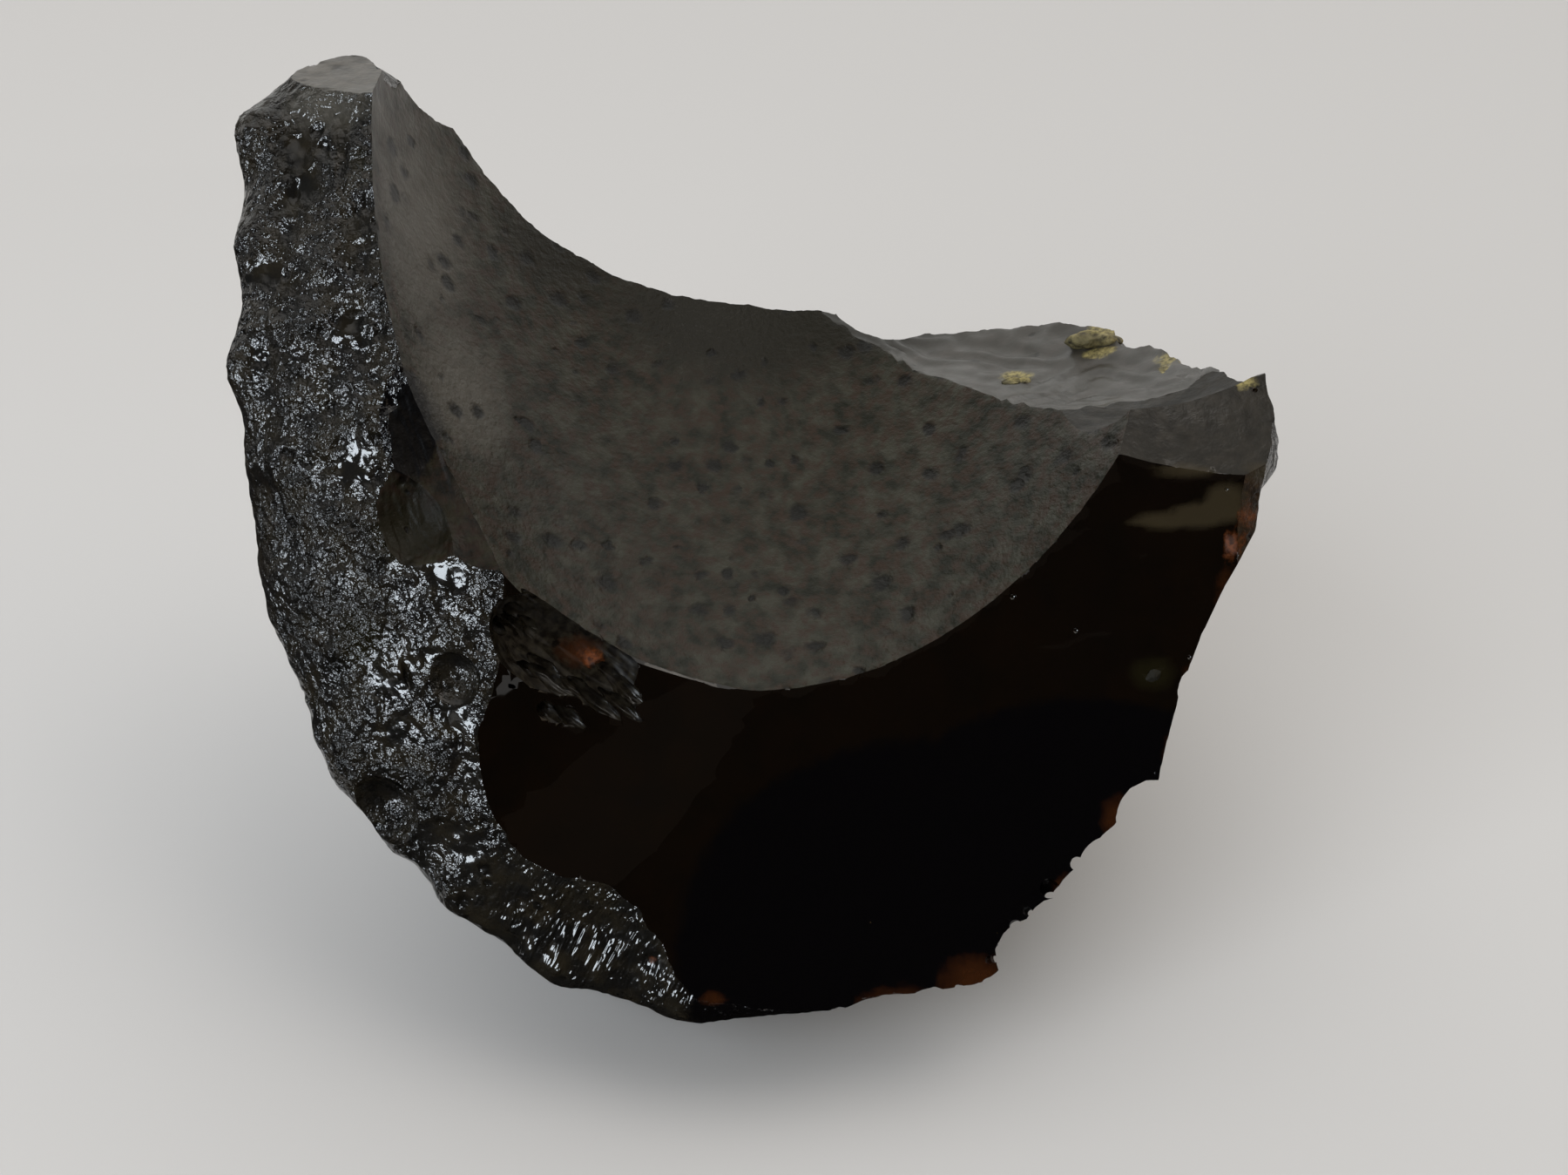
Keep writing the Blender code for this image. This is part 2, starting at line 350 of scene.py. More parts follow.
def roundPits(tree, point, spacing, size, share):
    # scattered bowls of uneven outline: depth 0..1, in a share of the cells, each with its own size
    bends, bend = patterns["pitWobble"]
    cell = scaled(tree, point, calc(tree, "DIVIDE", 1.0, spacing))
    drift = addNode(tree, "ShaderNodeTexNoise", {"Vector": cell, "Scale": bends, "Detail": 2.0})
    drift = scaled(tree, along(tree, "SUBTRACT", drift.outputs["Color"], (0.5, 0.5, 0.5)), bend)
    cells = addNode(tree, "ShaderNodeTexVoronoi", {
        "Vector": along(tree, "ADD", cell, drift), "Scale": 1.0})
    colour = addNode(tree, "ShaderNodeSeparateXYZ", {0: cells.outputs["Color"]}).outputs
    own = calc(tree, "MULTIPLY_ADD", colour[1], *patterns["pitSizes"])
    reach = calc(tree, "DIVIDE", cells.outputs["Distance"], calc(tree, "MULTIPLY", size, own))
    bowl = calc(tree, "SUBTRACT", 1.0, calc(tree, "MULTIPLY", reach, reach), clamp=True)
    chosen = calc(tree, "LESS_THAN", colour[0], share)
    return calc(tree, "MULTIPLY", calc(tree, "POWER", bowl, patterns["pitSteepness"]), chosen)


def packedDomes(tree, point, spacing):
    # blisters side by side, 0..1
    cells = addNode(tree, "ShaderNodeTexVoronoi", {
        "Vector": scaled(tree, point, calc(tree, "DIVIDE", 1.0, spacing)), "Scale": 1.0})
    reach = calc(tree, "DIVIDE", cells.outputs["Distance"], patterns["domeReach"])
    return calc(tree, "SUBTRACT", 1.0, calc(tree, "MULTIPLY", reach, reach), clamp=True)


def makeReliefTree():
    # low relief along the normals: knobs, round pits, domes, streaks and the ripples of a break
    tree, given, made = addTree("stoneRelief", "GeometryNodeTree", [
        ("Geometry", "Geometry", None),
        ("Subdivisions", "Int", 0),
        ("Knob Spacing", "Float", 1.6), ("Knob Height", "Float", 0.0),
        ("Pit Spacing", "Float", 2.6), ("Pit Size", "Float", 0.4),
        ("Pit Share", "Float", 0.5), ("Pit Depth", "Float", 0.0),
        ("Dome Spacing", "Float", 0.7), ("Dome Height", "Float", 0.0),
        ("Streak Direction", "Vector", (0, 0, 1)), ("Streak Spacing", "Float", 0.8),
        ("Streak Length", "Float", 5.0), ("Streak Height", "Float", 0.0),
        ("Groove Direction", "Vector", (0, 0, 1)), ("Groove Spacing", "Float", 0.5),
        ("Groove Height", "Float", 0.0),
        ("Ripple Centre", "Vector", (0, 0, 0)), ("Ripple Spacing", "Float", 2.0),
        ("Ripple Height", "Float", 0.0),
        ("Seed", "Vector", (0, 0, 0)),
        ("Finish", "Material", None),
    ], [("Geometry", "Geometry")])

    def marked(name):
        return addNode(tree, "GeometryNodeInputNamedAttribute", {"Name": name},
                       data_type="FLOAT").outputs[0]

    finer = addNode(tree, "GeometryNodeSubdivisionSurface",
                    {"Mesh": given["Geometry"], "Level": given["Subdivisions"]})
    place = addNode(tree, "GeometryNodeInputPosition").outputs[0]
    normal = addNode(tree, "GeometryNodeInputNormal").outputs[0]
    point = along(tree, "ADD", place, given["Seed"])
    knobs = centred(tree, noiseAt(tree, point, given["Knob Spacing"], 2.0))
    height = calc(tree, "MULTIPLY", knobs, given["Knob Height"])
    pits = roundPits(tree, point, given["Pit Spacing"], given["Pit Size"], given["Pit Share"])
    height = calc(tree, "SUBTRACT", height, calc(tree, "MULTIPLY", pits, given["Pit Depth"]))
    domes = calc(tree, "MULTIPLY", packedDomes(tree, point, given["Dome Spacing"]), given["Dome Height"])
    height = calc(tree, "ADD", height, calc(tree, "MULTIPLY", domes, marked("burnished")))
    left = calc(tree, "MULTIPLY_ADD", marked("streaked"), -patterns["linedCalm"], 1.0)
    height = calc(tree, "MULTIPLY", height, left)
    for label, zone in (("Streak", "streaked"), ("Groove", "grooved")):
        lane = stretched(tree, point, given[label + " Direction"], given["Streak Length"])
        lines = centred(tree, noiseAt(tree, lane, given[label + " Spacing"], 3.0))
        lines = calc(tree, "MULTIPLY", lines, marked(zone))
        height = calc(tree, "ADD", height, calc(tree, "MULTIPLY", lines, given[label + " Height"]))
    reach = along(tree, "DISTANCE", place, given["Ripple Centre"])
    spacing, amount = patterns["rippleWander"]
    wander = calc(tree, "MULTIPLY", noiseAt(tree, point, spacing), amount)
    phase = calc(tree, "ADD", calc(tree, "DIVIDE", reach, given["Ripple Spacing"]), wander)
    ripples = calc(tree, "SINE", calc(tree, "MULTIPLY", phase, math.tau))
    ripples = calc(tree, "MULTIPLY", ripples, given["Ripple Height"])
    total = calc(tree, "ADD", height, ripples)
    moved = addNode(tree, "GeometryNodeSetPosition",
                    {"Geometry": finer.outputs[0], "Offset": scaled(tree, normal, total)})
    whole = addNode(tree, "GeometryNodeRealizeInstances", {"Geometry": moved.outputs[0]})
    finished = addNode(tree, "GeometryNodeSetMaterial",
                       {"Geometry": whole.outputs[0], "Material": given["Finish"]})
    plug(tree, made[0], finished.outputs[0])
    return tree


def shapeRelief(obj, tree, values):
    # runs the relief tree once and leaves a plain mesh
    modifier = obj.modifiers.new("relief", "NODES")
    modifier.node_group = tree
    for item in tree.interface.items_tree:
        if item.in_out == "INPUT" and item.name in values:
            modifier[item.identifier] = values[item.name]
    mesh = evaluatedMesh(obj)
    obj.modifiers.remove(modifier)
    old, obj.data = obj.data, mesh
    bpy.data.meshes.remove(old)


# The breaks and hollows that were cut from the lump.
breaks = {
    "hollow": ((1.8, 5.7, 15.9), (22.0, 43.8, 25.3), (48.7, 5.7, 7.4)),
    "rimScar": ((16.1, 11.0, 12.4), (15.0, 28.1, 14.3), (9.2, 0, 36.1)),
    "freshBall": ((12.8, -83.1, -29.9), 86.0),
    "freshLobe": ((-5.7, -29.8, -21.1), (18.0, 31.4, 32.0), (0, 46, 0)),
    "freshReach": ((-18.0, 31.0), (-42.0, 8.0)),    # x and z that the fresh break covers
    "freshStep": 0.35,
    "freshBlend": 0.5,    # rounding of the ridge between its two scoops
    "chips": [            # finish, centre, radii, turn
        ("rawChip", (-15.2, -9.3, -6.6), (5.0, 9.0, 8.2), (0, -30, 0)),
        ("rawChip", (-17.4, -8.9, -9.0), (4.6, 8.4, 5.0), (0, 10, 0)),
        ("splinteredBreak", (-9.0, -1.1, -16.5), (5.2, 2.1, 2.9), (0, 38, 16)),
        ("rimScar", (9.3, 30.0, 8.2), (4.5, 14.0, 4.2), (0, 0, 0)),
        ("rimScar", (24.2, 19.3, 3.9), (1.7, 3.0, 1.7), (0, 0, 0)),
        ("dullBreak", (17.56, 4.5, 16.0), (20.0, 14.0, 20.0), (0, 0, 0)),
        ("etchedSkin", (-17.9, -0.9, -17.4), (0.35, 0.7, 1.1), (0, -15, 0)),
    ],
    "smallBreaks": [      # finish, point, facing, radius
        ("dullBreak", (23.6, -0.2, -5.4), (0.02, -1.0, 0.72), 25.0),
        ("hornBreak", (-24.0, 1.0, 13.9), (0.05, -0.50, 1.0), 30.0),
        ("hornBreak", (-20.5, 12.0, 16.3), (0.35, 0.1, 1.0), 25.0),
        ("brownFlank", (25.5, 0.5, -11.7), (0.9, 0.0, -0.44), 40.0),
        ("brownFlank", (25.3, -0.6, -10.0), (0.45, -0.87, -0.2), 30.0),
    ],
    "lipChips": [         # slivers lost along the sharp lip: centre, radii, turn
        ((-4.55, -1.50, -15.37), (6.0, 3.0, 3.0), (0, 20, 11)),
        ((-2.75, -1.28, -15.97), (6.0, 3.0, 3.0), (0, 16, 0)),
        ((-1.65, -1.31, -16.28), (4.5, 3.0, 3.0), (0, 13, -1)),
    ],
    "dimples": [          # point on the skin, facing, reach, depth
        ((-15.2, -0.9, -17.3), (-0.3, -0.93, -0.2), 1.25, 0.55),
        ((-19.5, 2.7, -24.5), (-0.35, -0.89, -0.3), 1.7, 0.7),
        ((-20.5, -0.2, -15.4), (-0.4, -0.9, -0.1), 1.3, 0.3),
    ],
    "bites": [            # x, z and radius on the fresh face
        (24.3, -18.0, 1.7), (21.9, -25.0, 2.25), (19.6, -27.8, 1.9),
        (16.9, -31.4, 2.1), (15.4, -32.6, 2.1), (9.9, -36.2, 2.0), (5.8, -37.4, 2.3),
    ],
    "biteCentre": 8.0, "biteDepth": 9.0, "biteFront": 3.0,
    "splinters": {"count": 16, "start": (-13.0, -1.2, -13.0), "end": (-6.0, 1.2, -18.2),
                  "across": (-2.2, 0.0, -2.8), "size": (2.0, 0.5, 0.42), "sizeSpread": (0.7, 1.3),
                  "tilt": 38.0, "tiltSpread": 9.0},
    "nicks": {            # small losses along sharp edges
        "gap": 2.3, "gapSpread": (0.6, 1.4),    # step to the next, in radii
        "stray": (0.3, 0.5, 0.3), "deepening": 1.5,
        "edges": [        # smallest and largest radius, line
            ((0.22, 0.6), [
                (23.2, 3.2, -16.5), (23.9, 3.3, -20.0), (22.5, 3.3, -22.5), (20.3, 3.3, -24.0),
                (19.0, 3.3, -25.6), (17.2, 3.3, -28.0), (14.6, 3.3, -31.2), (11.8, 3.3, -34.4),
                (8.1, 3.3, -35.0), (4.6, 3.3, -36.2)]),
            ((0.12, 0.32), [(27.3, 1.5, -2.2), (28.0, 0.9, -3.4), (28.6, 0.4, -5.4)]),
            ((0.15, 0.4), [(28.2, 0.4, -6.8), (26.4, 1.6, -10.8), (24.8, 2.6, -14.2)]),
        ],
    },
    "pinholes": [         # x, z and radius on the fresh face
        (14.0, -13.1, 0.22), (17.4, -14.9, 0.2), (23.4, -16.3, 0.16), (24.9, -7.5, 0.14),
    ],
    "crusts": [           # weathered knobs that stand proud: centre, radii
        ((21.6, 21.4, 3.1), (1.9, 1.6, 0.6)), ((25.2, 15.4, -0.1), (1.6, 1.8, 0.8)),
        ((21.6, 2.2, -17.3), (0.8, 0.7, 0.6)), ((16.7, 20.6, 0.3), (1.2, 1.1, 0.4)),
    ],
    "groundSize": 90.0,
    "farFront": -60.0,    # a depth in front of the whole stone
}


def makeRoundMesh(name, balls, fineness):
    # one mesh of balls that don't touch: centre, radii and turn of each
    work = bmesh.new()
    for centre, radii, turn in balls:
        bmesh.ops.create_icosphere(work, subdivisions=fineness, radius=1.0,
                                   matrix=placeMatrix(centre, radii, turn))
    return meshFrom(work, name)


def addRoundCutter(name, centre, radii, turn=(0, 0, 0), fineness=5):
    return addObject(name, makeRoundMesh(name, [(centre, radii, turn)], fineness))


def sortApart(balls):
    # shares balls out into lots in which none touches another
    lots = []
    for ball in balls:
        for lot in lots:
            if all((Vector(ball[0]) - Vector(other[0])).length > max(ball[1]) + max(other[1])
                   for other in lot):
                lot.append(ball)
                break
        else:
            lots.append([ball])
    return lots


def ballDepth(centre, radii, turn=(0, 0, 0)):
    # how far into the stone the back of a ball reaches, seen from the front
    inverse = placeMatrix(centre, radii, turn).inverted()
    step = inverse.to_3x3() @ Vector((0.0, 1.0, 0.0))
    a = step.dot(step)

    def depth(x, z):
        start = inverse @ Vector((x, 0.0, z))
        b, c = start.dot(step), start.dot(start) - 1.0
        inside = b * b - a * c
        return (-b + math.sqrt(inside)) / a if inside > 0.0 else breaks["farFront"]

    return depth


def freshDepth(form):
    centre, radius = form["freshBall"]
    scoop = ballDepth(centre, (radius,) * 3)
    lobe = ballDepth(*form["freshLobe"])
    blend = form["freshBlend"]

    def depth(x, z):
        first, second = scoop(x, z), lobe(x, z)
        nearness = max(blend - abs(first - second), 0.0) / blend
        return max(first, second) + nearness * nearness * blend / 4

    return depth


def addFreshCutter(form):
    (left, right), (low, high) = form["freshReach"]
    columns = round((right - left) / form["freshStep"])
    rows = round((high - low) / form["freshStep"])
    depth = freshDepth(form)
    sheet = bmesh.new()
    bmesh.ops.create_grid(sheet, x_segments=columns, y_segments=rows, size=0.5)
    for vertex in sheet.verts:
        x = left + (vertex.co.x + 0.5) * (right - left)
        z = low + (vertex.co.y + 0.5) * (high - low)
        vertex.co = (x, depth(x, z), z)
    front = bmesh.ops.extrude_face_region(sheet, geom=sheet.faces[:], use_keep_orig=True)
    for vertex in front["geom"]:
        if isinstance(vertex, bmesh.types.BMVert):
            vertex.co.y = form["farFront"]
    bmesh.ops.recalc_face_normals(sheet, faces=sheet.faces)
    return addObject("freshCutter", meshFrom(sheet, "freshCutter"))


def addGroundCutter(size):
    # a block below the ground, in the layout; it leaves the flat that the stone rests on
    block = bmesh.new()
    bmesh.ops.create_cube(block, size=size)
    under = Matrix.Translation((0, 0, -size / 2000)) @ Matrix.Scale(0.001, 4)
    bmesh.ops.transform(block, matrix=layoutToFrame.inverted() @ under, verts=block.verts)
    return addObject("ground", meshFrom(block, "ground"))


def biteBalls(form):
    # flutes that narrow towards the front, so that their walls hide behind the fresh face
    ahead = (form["biteCentre"] - form["biteFront"]) / form["biteDepth"]
    widening = 1.0 / math.sqrt(1.0 - ahead * ahead)
    for x, z, radius in form["bites"]:
        wide = radius * widening
        yield (x, form["biteCentre"], z), (wide, form["biteDepth"], wide), (0, 0, 0)


def pinholeBalls(form):
    depth = freshDepth(form)
    for x, z, radius in form["pinholes"]:
        yield (x, depth(x, z) - radius / 2, z), (radius,) * 3, (0, 0, 0)


def dimpleBalls(form):
    for point, facing, reach, depth in form["dimples"]:
        radius = (reach * reach + depth * depth) / (2.0 * depth)
        yield ballBehind(point, facing, radius - depth), (radius,) * 3, (0, 0, 0)


def splinterBalls(form, draw):
    # thin flakes lost side by side along the edge of the hollow
    start, end, across = (Vector(form[name]) for name in ("start", "end", "across"))
    for index in range(form["count"]):
        place = start.lerp(end, index / (form["count"] - 1)) + across * draw.random()
        radii = tuple(size * draw.uniform(*form["sizeSpread"]) for size in form["size"])
        tilt = form["tilt"] + draw.uniform(-form["tiltSpread"], form["tiltSpread"])
        yield place, radii, (0, tilt, 0)


def nickBalls(form, draw):
    # walks each edge and takes a small ball out at uneven steps
    for (small, large), edge in form["edges"]:
        for first, last in zip(edge, edge[1:]):
            first, last = Vector(first), Vector(last)
            walked = 0.0
            while walked < (last - first).length:
                radius = small + (large - small) * draw.random() ** 2
                place = first.lerp(last, walked / (last - first).length)
                place += Vector([draw.uniform(-stray, stray) for stray in form["stray"]])
                yield place, (radius, radius * form["deepening"], radius), (0, 0, 0)
                walked += radius * form["gap"] * draw.uniform(*form["gapSpread"])


# Shader groups and finishes. Patterns are read in the stone's layout, in millimetres.
def layoutPoint(tree):
    turn = Matrix.Rotation(math.radians(stance["lean"]), 3, "X")
    coordinates = addNode(tree, "ShaderNodeTexCoord").outputs["Object"]
    mapping = addNode(tree, "ShaderNodeMapping", {
        "Vector": coordinates,
        "Location": -(turn @ Vector(stance["origin"])),
        "Rotation": (math.radians(stance["lean"]), 0.0, 0.0),
        "Scale": (1000.0, 1000.0, 1000.0)})
    return mapping.outputs[0]


def addGroup(tree, group, values):
    node = addNode(tree, "ShaderNodeGroup", node_tree=group)
    for label, value in values.items():
        plug(tree, node.inputs[label], value)
    return node.outputs


def mixColours(tree, factor, first, second):
    node = addNode(tree, "ShaderNodeMix", data_type="RGBA")
    for socket, value in ((0, factor), (6, first), (7, second)):
        plug(tree, node.inputs[socket], value)
    return node.outputs[2]


def ramp(tree, value, low, high, fromLow=0.0, fromHigh=1.0):
    node = addNode(tree, "ShaderNodeMapRange", {
        "Value": value, "From Min": fromLow, "From Max": fromHigh, "To Min": low, "To Max": high})
    return node.outputs[0]


def mask(tree, name):
    return addNode(tree, "ShaderNodeAttribute", attribute_name=name).outputs["Fac"]


def makeGrainGroup():
    # the small relief of etched glass: a grain, round pits and packed domes, calmer where worn,
    # and fine lines in their place where streaked
    tree, given, made = addTree("etchGrain", "ShaderNodeTree", [
        ("Point", "Vector", None), ("Worn", "Float", 0.0), ("Calm", "Float", 0.0),
        ("Grain Size", "Float", 0.4), ("Grain Weight", "Float", 1.0),
        ("Pit Spacing", "Float", 1.0), ("Pit Size", "Float", 0.35),
        ("Pit Share", "Float", 0.4), ("Pit Weight", "Float", 0.5),
        ("Dome Spacing", "Float", 0.4), ("Dome Weight", "Float", 0.0),
        ("Streaked", "Float", 0.0), ("Streak Direction", "Vector", (0, 0, 1)),
        ("Streak Spacing", "Float", 0.5), ("Streak Length", "Float", 6.0),
        ("Patch Spacing", "Float", 2.5), ("Patchiness", "Float", 0.0),
    ], [("Height", "Float"), ("Pits", "Float")])
    lane = stretched(tree, given["Point"], given["Streak Direction"], given["Streak Length"])
    grain = noiseAt(tree, given["Point"], given["Grain Size"], 3.0, 0.6)
    pits = roundPits(tree, given["Point"], given["Pit Spacing"], given["Pit Size"], given["Pit Share"])
    domes = packedDomes(tree, given["Point"], given["Dome Spacing"])
    grain = calc(tree, "MULTIPLY_ADD", domes, given["Dome Weight"], grain)
    lineHeight, onset = patterns["lines"]
    streaks = calc(tree, "MULTIPLY", noiseAt(tree, lane, given["Streak Spacing"], 1.0), lineHeight)
    lined = calc(tree, "MULTIPLY", given["Streaked"], onset, clamp=True)
    grain = calc(tree, "MULTIPLY_ADD", calc(tree, "SUBTRACT", streaks, grain), lined, grain)
    fine = calc(tree, "MULTIPLY", grain, given["Grain Weight"])
    rough = noiseAt(tree, given["Point"], given["Patch Spacing"], 2.0)
    rough = ramp(tree, rough, -1.0, 1.0, *patterns["patchEdge"])
    rough = calc(tree, "MULTIPLY_ADD", rough, given["Patchiness"], 1.0)
    worn = calc(tree, "MULTIPLY", given["Worn"], given["Calm"])
    fine = calc(tree, "MULTIPLY", fine, calc(tree, "SUBTRACT", rough, worn))
    bowls = calc(tree, "MULTIPLY", pits, calc(tree, "SUBTRACT", 1.0, lined))
    height = calc(tree, "SUBTRACT", fine, calc(tree, "MULTIPLY", bowls, given["Pit Weight"]))
    plug(tree, made["Height"], height)
    plug(tree, made["Pits"], pits)
    return tree


def makeMottleGroup():
    # three tones of the same glass that run into each other in soft clouds
    tree, given, made = addTree("mottle", "ShaderNodeTree", [
        ("Point", "Vector", None), ("Spacing", "Float", 3.0),
        ("First", "Color", (0, 0, 0, 1)), ("Second", "Color", (0, 0, 0, 1)),
        ("Third", "Color", (0, 0, 0, 1)),
    ], [("Colour", "Color")])
    broadEdge, finerEdge = patterns["cloudEdges"]
    broad = ramp(tree, noiseAt(tree, given["Point"], given["Spacing"], 3.0), 0.0, 1.0, *broadEdge)
    apart = along(tree, "ADD", given["Point"], patterns["cloudShift"])
    finer = calc(tree, "MULTIPLY", given["Spacing"], patterns["cloudRatio"])
    second = ramp(tree, noiseAt(tree, apart, finer, 3.0), 0.0, 1.0, *finerEdge)
    colour = mixColours(tree, broad, given["First"], given["Second"])
    plug(tree, made["Colour"], mixColours(tree, second, colour, given["Third"]))
    return tree


# Tones of the named places: colour, how ragged the edge is, how soft it is. Some tones are painted
# reflection, sheen, glow or shade.
placeTones = {
    # painted dark reflection and painted shade
    "darkReflectionAndShade": ((0.0015, 0.0013, 0.0016), 0.25, 0.12),
    # painted reflection
    "paintedReflection": ((0.032, 0.025, 0.014), 0.35, 0.6),
    # painted sheen
    "paintedSheen": ((0.085, 0.080, 0.068), 0.8, 0.9),
    # olive-brown, and painted shade on the hollow's rim
    "oliveAndShade": ((0.009, 0.0075, 0.003), 0.6, 0.7),
    # painted glow of light through thin edges
    "paintedAmberGlow": ((0.034, 0.011, 0.0035), 1.0, 0.8),
    "yellow": ((0.32, 0.27, 0.11), 1.3, 0.4),
    "rust": ((0.14, 0.038, 0.008), 1.5, 0.5),
}


def makeTintGroup():
    # stains, crusts, and painted light: the glow of thin edges, reflections, sheen and shade; Cover
    # tells where there is dull iron stain or crust
    tree, given, made = addTree("placeTints", "ShaderNodeTree", [
        ("Point", "Vector", None), ("Colour", "Color", (0, 0, 0, 1)),
    ] + [(name, "Float", 0.0) for name in placeTones], [("Colour", "Color"), ("Cover", "Float")])
    patchy = noiseAt(tree, given["Point"], *patterns["tintPatches"])
    speck = noiseAt(tree, given["Point"], *patterns["tintSpecks"])
    speck = ramp(tree, speck, 0.0, 1.0, *patterns["speckEdge"])
    colour, cover = given["Colour"], 0.0
    for name, (tone, ragged, soft) in placeTones.items():
        edge = calc(tree, "MULTIPLY", calc(tree, "SUBTRACT", patchy, patterns["tintEdge"]), ragged)
        amount = ramp(tree, calc(tree, "ADD", given[name], edge), 0.0, 1.0, 0.0, soft)
        shade = (*tone, 1)
        if name in ("yellow", "rust"):
            dark = (*(part * patterns["speckShade"] for part in tone), 1)
            shade = mixColours(tree, speck, dark, shade)
            cover = calc(tree, "MAXIMUM", amount, cover)
        colour = mixColours(tree, amount, colour, shade)
    plug(tree, made["Colour"], colour)
    plug(tree, made["Cover"], cover)
    return tree


grainGroup = makeGrainGroup()
mottleGroup = makeMottleGroup()
tintGroup = makeTintGroup()

finishValues = {
    "etchedSkin": {
        "tones": ((0.009, 0.0085, 0.0075), (0.006, 0.0056, 0.005), (0.017, 0.014, 0.009)),
        "cloud": 3.0, "pitColour": (0.004, 0.0036, 0.003),
        "roughness": (0.04, 0.12), "specular": 0.32, "bump": 0.32,
        "grain": {"Grain Size": 0.6, "Grain Weight": 1.0, "Pit Spacing": 1.3, "Pit Size": 0.4,
                  "Pit Share": 0.35, "Pit Weight": 0.4, "Dome Spacing": 0.5, "Dome Weight": 0.28,
                  "Calm": 0.68, "Streak Direction": lineDirection, "Streak Spacing": 0.28,
                  "Streak Length": 9.0, "Patch Spacing": 2.6, "Patchiness": 0.55},
    },
    "matteHollow": {
        "tones": ((0.034, 0.0325, 0.022), (0.0075, 0.008, 0.0032), (0.027, 0.0160, 0.0092)),
        "cloud": 1.5, "pitColour": (0.002, 0.0018, 0.0008), "stretch": (1.0, 0.5, 1.0),
        "roughness": (0.36, 0.46), "specular": 0.12, "bump": 0.12,
        "grain": {"Grain Size": 0.45, "Pit Spacing": 1.7, "Pit Size": 0.42, "Pit Share": 0.65,
                  "Pit Weight": 0.8},
    },
    "freshBreak": {
        # brownish glass; its near-black lower right is a painted reflection
        "tones": ((0.0042, 0.0024, 0.0012), (0.0036, 0.0022, 0.0013), (0.0030, 0.0020, 0.0012)),
        "cloud": 5.0, "pitColour": (0.003, 0.002, 0.002),
        "roughness": (0.03, 0.06), "specular": 0.5, "bump": 0.003,
        "grain": {"Grain Size": 2.0, "Pit Spacing": 3.0, "Pit Size": 0.1, "Pit Share": 0.1,
                  "Pit Weight": 1.0},
    },
    "rimScar": {
        "tones": ((0.050, 0.047, 0.040), (0.038, 0.035, 0.029), (0.058, 0.052, 0.045)),
        "cloud": 2.4, "pitColour": (0.015, 0.014, 0.01),
        "roughness": (0.28, 0.45), "specular": 0.4, "bump": 0.05,
        "grain": {"Grain Size": 1.2, "Pit Spacing": 2.0, "Pit Size": 0.2, "Pit Share": 0.2,
                  "Pit Weight": 0.5},
    },
    "rawChip": {
        "tones": ((0.005, 0.0042, 0.0026), (0.019, 0.0165, 0.009), (0.016, 0.009, 0.0055)),
        "cloud": 1.2, "pitColour": (0.003, 0.0024, 0.0015),
        "roughness": (0.4, 0.7), "specular": 0.12, "bump": 0.5,
        "grain": {"Grain Size": 0.5, "Pit Spacing": 1.0, "Pit Size": 0.3, "Pit Share": 0.2,
                  "Pit Weight": 0.5, "Streaked": 0.5, "Streak Direction": (-0.35, 0.0, 0.94),
                  "Streak Length": 4.0},
    },
    "splinteredBreak": {
        "tones": ((0.006, 0.0045, 0.003), (0.004, 0.003, 0.002), (0.016, 0.0135, 0.009)),
        "cloud": 0.9, "pitColour": (0.002, 0.0015, 0.001),
        "roughness": (0.2, 0.5), "specular": 0.14, "bump": 0.35,
        "grain": {"Grain Size": 0.55, "Pit Spacing": 0.8, "Pit Size": 0.3, "Pit Share": 0.3,
                  "Pit Weight": 0.5, "Streaked": 1.0, "Streak Direction": (0.76, 0.22, -0.61),
                  "Streak Length": 6.0},
    },
    "crust": {
        "tones": ((0.360, 0.310, 0.150), (0.150, 0.130, 0.065), (0.045, 0.038, 0.022)),
        "cloud": 1.6, "pitColour": (0.030, 0.025, 0.014),
        "roughness": (0.5, 0.8), "specular": 0.2, "bump": 0.25,
        "grain": {"Grain Size": 0.5, "Pit Spacing": 1.0, "Pit Size": 0.3, "Pit Share": 0.15,
                  "Pit Weight": 0.5},
    },
    "hornBreak": {
        "tones": ((0.076, 0.070, 0.060), (0.046, 0.042, 0.036), (0.098, 0.088, 0.075)),
        "cloud": 2.0, "pitColour": (0.020, 0.017, 0.014),
        "roughness": (0.35, 0.5), "specular": 0.4, "bump": 0.08,
        "grain": {"Grain Size": 0.8, "Pit Spacing": 1.8, "Pit Size": 0.35, "Pit Share": 0.5,
                  "Pit Weight": 0.8},
    },
    "dullBreak": {
        "tones": ((0.017, 0.015, 0.0115), (0.009, 0.0075, 0.005), (0.024, 0.0205, 0.0155)),
        "cloud": 2.0, "pitColour": (0.008, 0.007, 0.005),
        "roughness": (0.3, 0.5), "specular": 0.11, "bump": 0.08,
        "grain": {"Grain Size": 0.8, "Pit Spacing": 1.6, "Pit Size": 0.2, "Pit Share": 0.2,
                  "Pit Weight": 0.6},
    },
    "brownFlank": {
        "tones": ((0.020, 0.013, 0.007), (0.012, 0.007, 0.004), (0.034, 0.018, 0.008)),
        "cloud": 1.2, "pitColour": (0.006, 0.004, 0.003),
        "roughness": (0.25, 0.5), "specular": 0.25, "bump": 0.15,
        "grain": {"Grain Size": 0.5, "Pit Spacing": 1.2, "Pit Size": 0.3, "Pit Share": 0.3,
                  "Pit Weight": 0.6},
    },
}

# The slivers of the lip are of the same fresh glass, without any small relief.
finishValues["lipBreak"] = {**finishValues["freshBreak"], "bump": 0.0}


